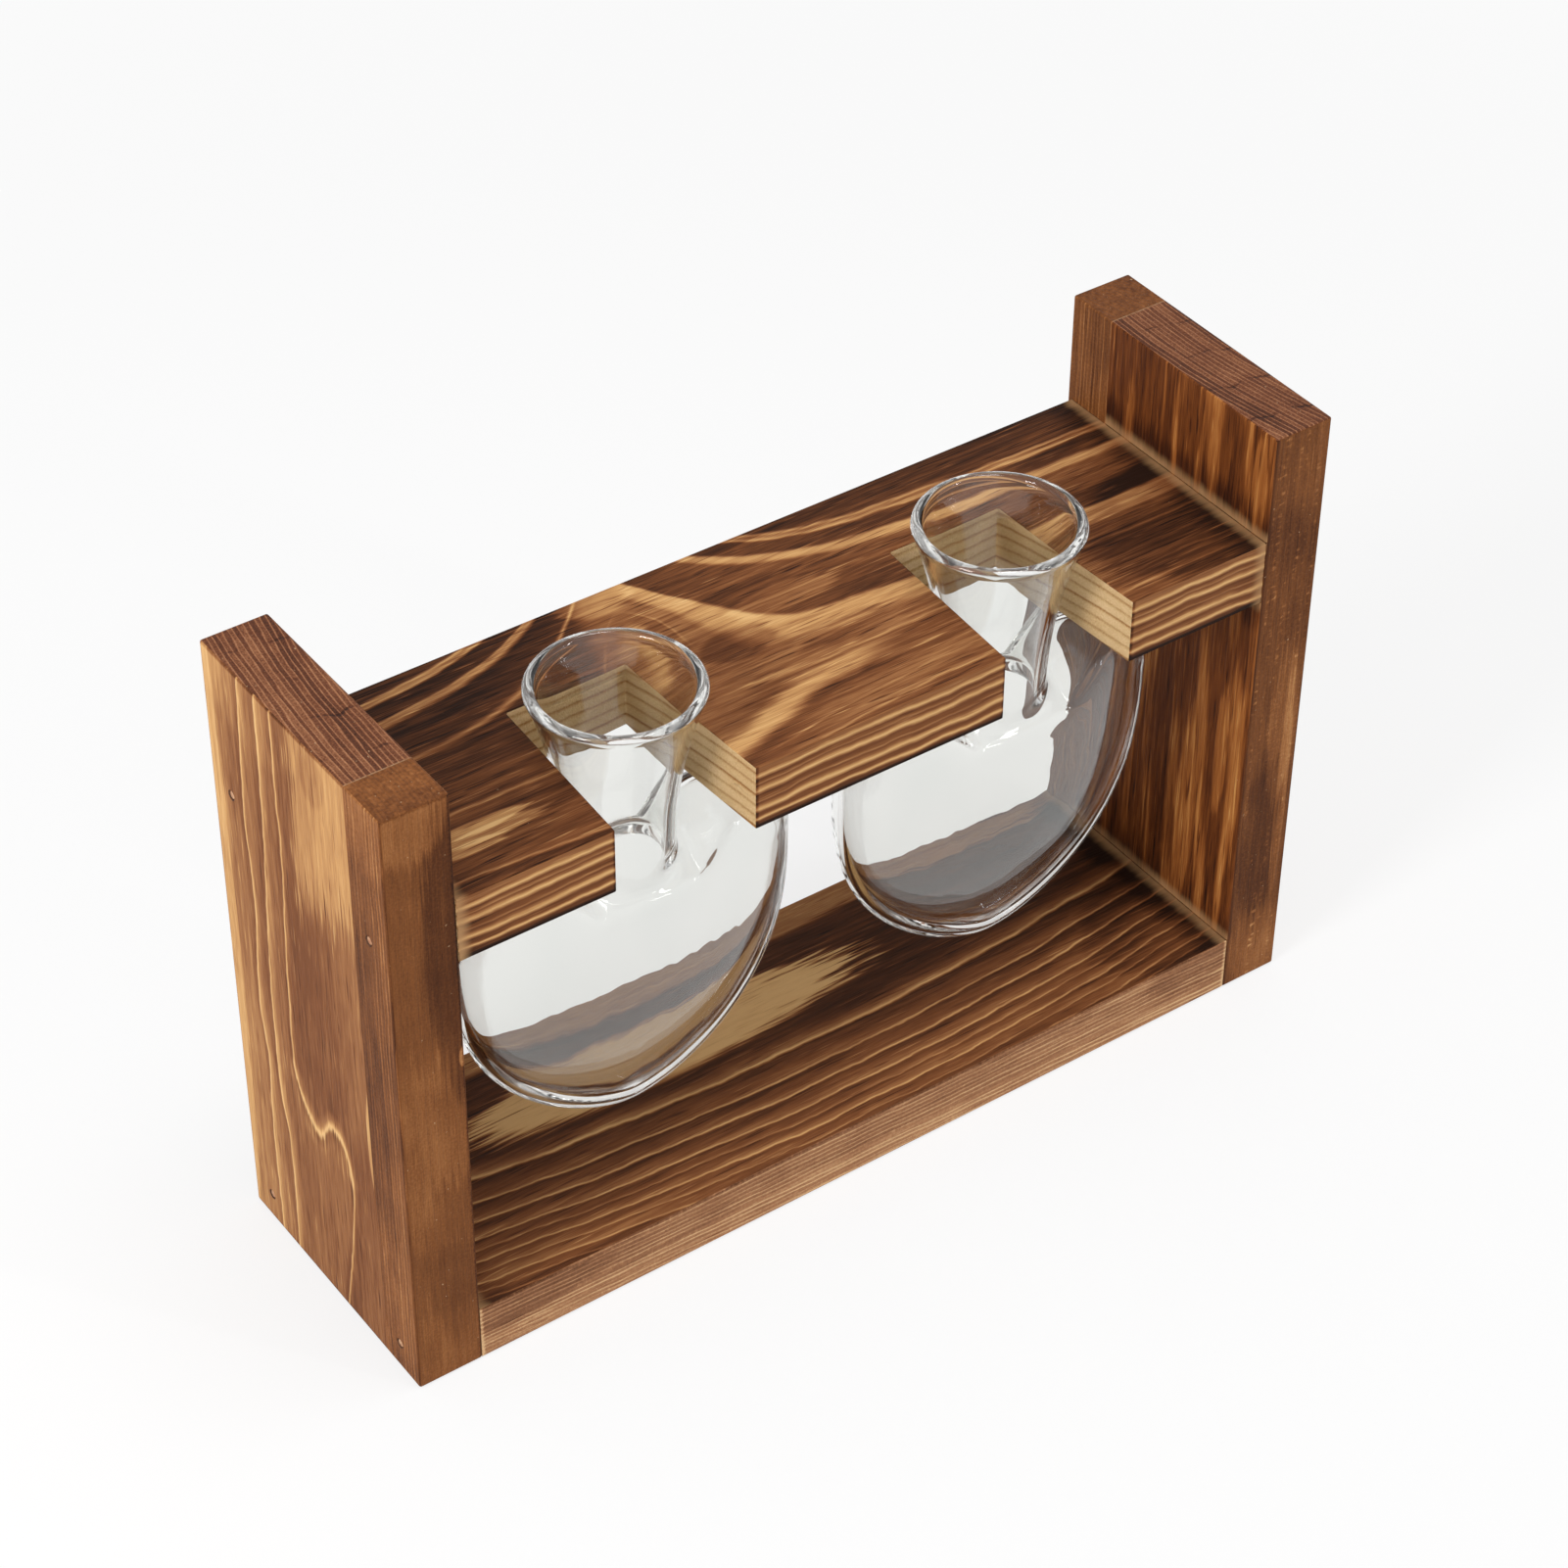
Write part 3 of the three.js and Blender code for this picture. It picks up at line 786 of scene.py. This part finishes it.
START = 1 * MM
DRILL = {**BRAD, "Head Radius": 1.22 * MM, "Head Thickness": START + 1 * MM, "Head Ease": 0.05 * MM,
         "Shank Radius": 0.9 * MM, "Length": START + 30.3 * MM}
brads = [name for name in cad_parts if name.endswith("_brad")]
spots, starts = [], []
for name in brads:
    low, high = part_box(name)
    out = low[0] if low[0] < 0 else high[0]
    spots.append(Vector((out, (low[1] + high[1]) / 2, (low[2] + high[2]) / 2)))
    starts.append(spots[-1] + Vector((math.copysign(START, out), 0, 0)))
drill_mesh = set_rows("drill", starts, DRILL, hole_finish)
brad_piece = put("brads", set_rows("brads", spots, BRAD, brad_finish))
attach(brad_piece, "frame")
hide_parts(*brads)

# %% [markdown]
# ## Boards
# Real boards have eased edges that catch the light, so a bare box would look wrong. Each board starts as a
# box of the size of its solid, and its free edges are rounded with a bevel. Each face takes the finish of
# its side, and a Boolean modifier bores the ways of the brads.

# %% Helpers for wooden pieces
EASE, SHELF_EASE = 0.5 * MM, 0.35 * MM
SIDES = {"left": "-x", "right": "+x", "front": "-y", "back": "+y", "under": "-z", "top": "+z"}


def faces(**named):
    """The finish of each side, from left, right, front, back, under and top."""
    return {SIDES[word]: finish for word, finish in named.items()}


def side_of(normal):
    """Which of the six sides a face looks to."""
    axis = max(range(3), key=lambda i: abs(normal[i]))
    return ("-" if normal[axis] < 0 else "+") + "xyz"[axis]


def finish_faces(shape, finishes):
    """Gives each face the index of the finish of its side; returns the finishes in slot order."""
    slots = list(dict.fromkeys(finishes.values()))
    for face in shape.faces:
        face.material_index = slots.index(finishes[side_of(face.normal)])
    return slots


def ease(shape, sharp, radius):
    """Rounds every edge that doesn't lie in a plane of sharp, given as (axis number, place in metres)."""
    def free(edge):
        return not any(all(abs(v.co[axis] - place) < 1e-6 for v in edge.verts) for axis, place in sharp)
    bmesh.ops.bevel(shape, geom=[e for e in shape.edges if free(e)], offset=radius, segments=3, profile=0.5,
                    affect="EDGES", clamp_overlap=True)
    bmesh.ops.recalc_face_normals(shape, faces=shape.faces[:])


def bored(piece):
    """Bores the ways of the brads into a wooden piece."""
    drill = put("drill", drill_mesh)
    piece.data.materials.append(hole_finish)
    cut = piece.modifiers.new("ways", "BOOLEAN")
    cut.operation, cut.solver, cut.object, cut.material_mode = "DIFFERENCE", "EXACT", drill, "TRANSFER"
    mesh = bpy.data.meshes.new_from_object(piece.evaluated_get(bpy.context.evaluated_depsgraph_get()))
    piece.modifiers.remove(cut)
    piece.data = mesh
    bpy.data.objects.remove(drill)


def wooden(shape, name, slots):
    """Turns a bmesh into the wooden piece that stands for the solid of this name."""
    mesh = bpy.data.meshes.new(name + "_piece")
    shape.to_mesh(mesh)
    shape.free()
    for finish in slots:
        mesh.materials.append(finish)
    piece = put(name + "_piece", mesh)
    bored(piece)
    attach(piece, "frame")
    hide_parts(name)
    print(name, "has", len(piece.data.polygons), "faces")


def board(name, sharp, finishes):
    """A board in place of the solid of the same name."""
    low, high = (Vector(corner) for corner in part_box(name))
    shape = bmesh.new()
    bmesh.ops.create_cube(shape, size=1, matrix=Matrix.LocRotScale((low + high) / 2, None, high - low))
    ease(shape, sharp, EASE)
    wooden(shape, name, finish_faces(shape, finishes))


print("sides of a board:", *SIDES)

# %% [markdown]
# Edges in a joint stay sharp: the seams of the two ends, and both ends of the base. Two rounded edges there
# would open a groove that the real joint doesn't have.

# %% Ends and base
left_seam, right_seam = [(1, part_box("left_end_strip")[1][1])], [(1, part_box("right_end_strip")[0][1])]
base_ends = [(0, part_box("base_board")[i][0]) for i in (0, 1)]
board("left_end_board", left_seam, faces(
    left=left_outer, right=left_inner, front=back_edge, back=back_edge, under=left_sawn, top=left_sawn))
board("left_end_strip", left_seam, faces(
    left=strip_side, right=strip_side, front=left_front, back=back_edge, under=strip_sawn, top=strip_sawn))
board("right_end_board", right_seam, faces(
    left=right_inner, right=right_outer, front=right_front, back=back_edge, under=right_sawn,
    top=right_sawn))
board("right_end_strip", right_seam, faces(
    left=strip_side, right=strip_side, front=back_edge, back=back_edge, under=strip_sawn, top=strip_sawn))
board("base_board", base_ends, faces(
    left=base_front, right=base_front, front=base_front, back=base_front, under=base_top, top=base_top))

# %% [markdown]
# ## Shelf
# The shelf is a board with two notches sawn in from the front, a little narrower at the back than at the
# mouth so that a vase wedges in. A Boolean cut would leave a messy mesh for the bevel, so the outline is
# drawn point by point and pulled down to the thickness of the board.

# %% Shelf with its notches
centres = (-NOTCH * MM, NOTCH * MM)
mouth_half, tail_half, tail = MOUTH_HALF * MM, 14.148 * MM, 9.023 * MM
low, high = (Vector(corner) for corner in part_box("shelf_board"))
outline = [(low.x, low.y)]
for centre in centres:
    outline += [(centre - mouth_half, low.y), (centre - tail_half, tail),
                (centre + tail_half, tail), (centre + mouth_half, low.y)]
outline += [(high.x, low.y), (high.x, high.y), (low.x, high.y)]
shape = bmesh.new()
upper = shape.faces.new([shape.verts.new((px, py, high.z)) for px, py in outline])
pulled = bmesh.ops.extrude_face_region(shape, geom=[upper], use_keep_orig=True)["geom"]
lower = [corner for corner in pulled if isinstance(corner, bmesh.types.BMVert)]
bmesh.ops.translate(shape, vec=(0, 0, low.z - high.z), verts=lower)
bmesh.ops.recalc_face_normals(shape, faces=shape.faces[:])
ease(shape, [(0, low.x), (0, high.x)], SHELF_EASE)
slots = finish_faces(shape, faces(
    left=raw_cut, right=raw_cut, front=shelf_front, back=shelf_rear, under=shelf_top, top=shelf_top))
margin = 0.5 * MM
for face in shape.faces:
    spot = face.calc_center_median()
    beside = any(abs(spot.x - centre) < mouth_half + 0.1 * MM for centre in centres)
    if beside and low.y + margin < spot.y < tail + margin and abs(face.normal.z) < 0.5:
        face.material_index = slots.index(raw_cut)
wooden(shape, "shelf_board", slots)

# %% [markdown]
# ## Glass vases
# Each vase is one blown piece: a flat heart with a pointed tip, two shoulders beside a narrow neck, and a
# mouth that flares to a rolled lip. A lathe with a Screw modifier gives round shapes only, so the rings are
# worked out one by one, each with its own half width, half depth and height, and lifted at the shoulders.
# The inner wall follows the outer one, because glass only bends light rightly when it has a thickness.

# %% Rings of a wall
HALF_WIDTH, HALF_DEPTH, WIDEST = 40.5, 13.5, 59.5
WAIST, WAIST_HEIGHT, FOOT, DIP, LOBE = 11.4, 70.5, 8, 2.5, 9
RIM, LIP, LIP_HEIGHT = 18.3, 1.3, 109.7
WALL, BOTTOM = 2.2, 4


def wall_rings(inset, bottom):
    """Half width, half depth, height and shoulder weight of a wall's rings, from the tip to the lip."""
    wide, thick, waist = HALF_WIDTH - inset, HALF_DEPTH - inset, WAIST - inset
    angle = np.linspace(0, math.pi / 2, 60)
    drop = (WIDEST - bottom) * np.clip(np.cos(angle), 0, 1) ** 0.735
    bulb = [wide * np.sin(angle) ** 1.42, thick * np.sin(angle) ** 1.3, WIDEST - drop, 0 * angle]
    top = WAIST_HEIGHT - inset
    guides = np.array([[wide, thick, WIDEST], [wide, thick, top - DIP],
                       [waist, waist, top - FOOT], [waist, waist, top]])
    share = np.linspace(0, 1, 61)[1:, None]
    weights = [factor * share ** i * (1 - share) ** (3 - i) for i, factor in enumerate((1, 3, 3, 1))]
    shoulder = sum(weight * guide for weight, guide in zip(weights, guides))
    shoulder = np.concatenate([shoulder, 1 - (1 - share) ** 6], 1)
    height = np.linspace(WAIST_HEIGHT, LIP_HEIGHT, 41)[1:-1]
    flare = ((height - WAIST_HEIGHT) / (LIP_HEIGHT - WAIST_HEIGHT)) ** 2
    radius = WAIST + (RIM - WAIST) * flare - inset
    return np.concatenate([np.stack(bulb, 1), shoulder, np.stack([radius, radius, height, 0 * height], 1)])


print("rings of one wall:", len(wall_rings(0, 0)))

# %% [markdown]
# Both walls and the half round of the lip between them are one chain of rings. Neighbouring rings are
# joined by quads, and the first and the last ring shrink to a point, so the mesh is closed without a seam.

# %% Vase mesh
TURNS = 144


def vase_mesh(name, centre, ground):
    """The vase about centre, standing at ground, as one closed mesh."""
    around = np.linspace(0, math.pi, 24)
    lip_radius = RIM - LIP * (1 - np.cos(around))
    lip = np.stack([lip_radius, lip_radius, LIP_HEIGHT + LIP * np.sin(around), 0 * around], 1)
    chain = np.concatenate([wall_rings(0, 0), lip, wall_rings(WALL, BOTTOM)[::-1]])
    wide, thick, height, weight = (chain[1:-1, i:i + 1] for i in range(4))
    turn = np.linspace(0, 2 * math.pi, TURNS, endpoint=False)
    px, py = wide * np.cos(turn), thick * np.sin(turn)
    share = np.clip((np.abs(px) - WAIST) / (HALF_WIDTH - WAIST), 0, 1)
    pz = height + weight * LOBE * np.clip(np.sin(math.pi * share), 0, None) ** 1.3
    spots = np.stack([px, py, pz], 2).reshape(-1, 3)
    tips = [[0, 0, chain[0, 2]], [0, 0, chain[-1, 2]]]
    spots = np.concatenate([spots, tips]) * MM + [*centre, ground]
    index = np.arange(len(spots) - 2).reshape(-1, TURNS)
    beside = np.roll(index, -1, 1)
    quads = np.stack([index[:-1], beside[:-1], beside[1:], index[1:]], 2).reshape(-1, 4)
    outer = [(len(spots) - 2, b, a) for a, b in zip(index[0].tolist(), beside[0].tolist())]
    inner = [(len(spots) - 1, a, b) for a, b in zip(index[-1].tolist(), beside[-1].tolist())]
    mesh = bpy.data.meshes.new(name)
    mesh.from_pydata(spots.tolist(), [], quads.tolist() + outer + inner)
    mesh.polygons.foreach_set("use_smooth", [True] * len(mesh.polygons))
    return mesh


print("corners in a ring:", TURNS)

# %% [markdown]
# Clear glass is a Principled shader with full transmission. Blown glass is never quite even, so a slow
# noise bends its surface a little; that is what makes the light streaks in the shoulders waver.

# %% Glass finish and vases
def clear_glass():
    made, x, y, z = begin("clear_glass")
    swell = cloud((x, y, z), (0.05, 0.05, 0.035), 1, 3)
    ripple = cloud((x, y, z), (0.16, 0.16, 0.1), 1, 8)
    colour = swell.rise(-1, 1).over(screen(243, 244, 242), screen(248, 248, 246))
    return end(made, colour, 0.002 + swell * 0.001, swell + ripple * 0.15, 0.1 * MM,
               {"Transmission Weight": 1, "IOR": 1.46, "Specular IOR Level": 0.06})


glass = clear_glass()
for name in ("left_vase", "right_vase"):
    low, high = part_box(name)
    mesh = vase_mesh(name + "_glass", ((low[0] + high[0]) / 2, (low[1] + high[1]) / 2), low[2])
    mesh.materials.append(glass)
    vase = put(name + "_glass", mesh)
    shape = bmesh.new()
    shape.from_mesh(mesh)
    print(name, "glass volume in cm3:", round(shape.calc_volume(signed=True) * 1e6, 2))
    shape.free()
    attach(vase, name)
    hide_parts(name)

# %% [markdown]
# ## Floor
# The object stands on a plain white table. Its floor takes the soft shadow, and is lifted towards white for
# the camera and for what glass and steel show of it. Far out it is fully white, so no horizon shows.

# %% Floor
def looked_at(start):
    """1 for what the camera sees, straight or by way of glass and steel, and 0 for light that falls."""
    seen = start.node("ShaderNodeLightPath", out="Is Camera Ray")
    for kind in ("Is Transmission Ray", "Is Glossy Ray"):
        seen = seen.math("MAXIMUM", seen, start.node("ShaderNodeLightPath", out=kind))
    return seen


WHITE, PALE = (1, 1, 1, 1), (0.9, 0.9, 0.9, 1)
FLOOR_HALF, FLOOR_BELOW = 3, 0.3 * MM


def white_floor():
    made, x, y, _ = begin("white_floor")
    start = Tone(made.node_tree)
    matt = start.node("ShaderNodeBsdfDiffuse", None, {"Color": PALE})
    shine = start.node("ShaderNodeEmission", None, {"Color": WHITE, "Strength": 1})
    far = (x * x + y * y).root().rise(350, 900)
    lift = looked_at(start) * (0.75 + far * 0.25)
    both = start.node("ShaderNodeMixShader", None, {0: lift, 1: matt, 2: shine})
    start.node("ShaderNodeOutputMaterial", None, {"Surface": both})
    return made


shape = bmesh.new()
bmesh.ops.create_grid(shape, x_segments=1, y_segments=1, size=FLOOR_HALF,
                      matrix=Matrix.Translation((0, 0, -FLOOR_BELOW)))
mesh = bpy.data.meshes.new("floor")
shape.to_mesh(mesh)
shape.free()
mesh.materials.append(white_floor())
floor = put("floor", mesh)
print("floor of", 2 * FLOOR_HALF, "m")

# %% [markdown]
# ## Light
# A lamp like a window lights the left side, the brightest in the photograph. A narrow strip in front draws
# streaks on the glass, a softbox above lights the tops, and a white world fills the rest. Light passes many
# walls of glass, so more bounces are allowed than usual; with few, the rims turn black.

# %% World and lamps
BOUNCES, MIDDLE = 32, Vector((0, 0, 0.07))
for kind in ("max_bounces", "glossy_bounces", "transmission_bounces"):
    setattr(scene.cycles, kind, BOUNCES)
world = bpy.data.worlds.new("white_room")
world.use_nodes = True
world.node_tree.nodes.clear()
sky = Tone(world.node_tree)
air = sky.node("ShaderNodeBackground", None, {"Color": WHITE, "Strength": 0.55 + looked_at(sky) * 0.45})
sky.node("ShaderNodeOutputWorld", None, {"Surface": air})
scene.world = world


def soft_lamp(name, place, size, watts):
    """A flat lamp that looks at the middle of the object."""
    data = bpy.data.lights.new(name, "AREA")
    data.shape = "RECTANGLE"
    data.size, data.size_y, data.energy = *size, watts
    lamp = put(name, data)
    lamp.location = place
    lamp.rotation_euler = (MIDDLE - Vector(place)).to_track_quat("-Z", "Y").to_euler()
    print(name, "at", place, watts, "W")


soft_lamp("left_window", (-1.1, -0.25, 0.75), (0.35, 0.5), 9)
soft_lamp("front_strip", (0.55, -1, 0.75), (0.05, 0.45), 1.6)
soft_lamp("top_softbox", (0.1, -0.2, 1.3), (0.5, 0.3), 3.5)
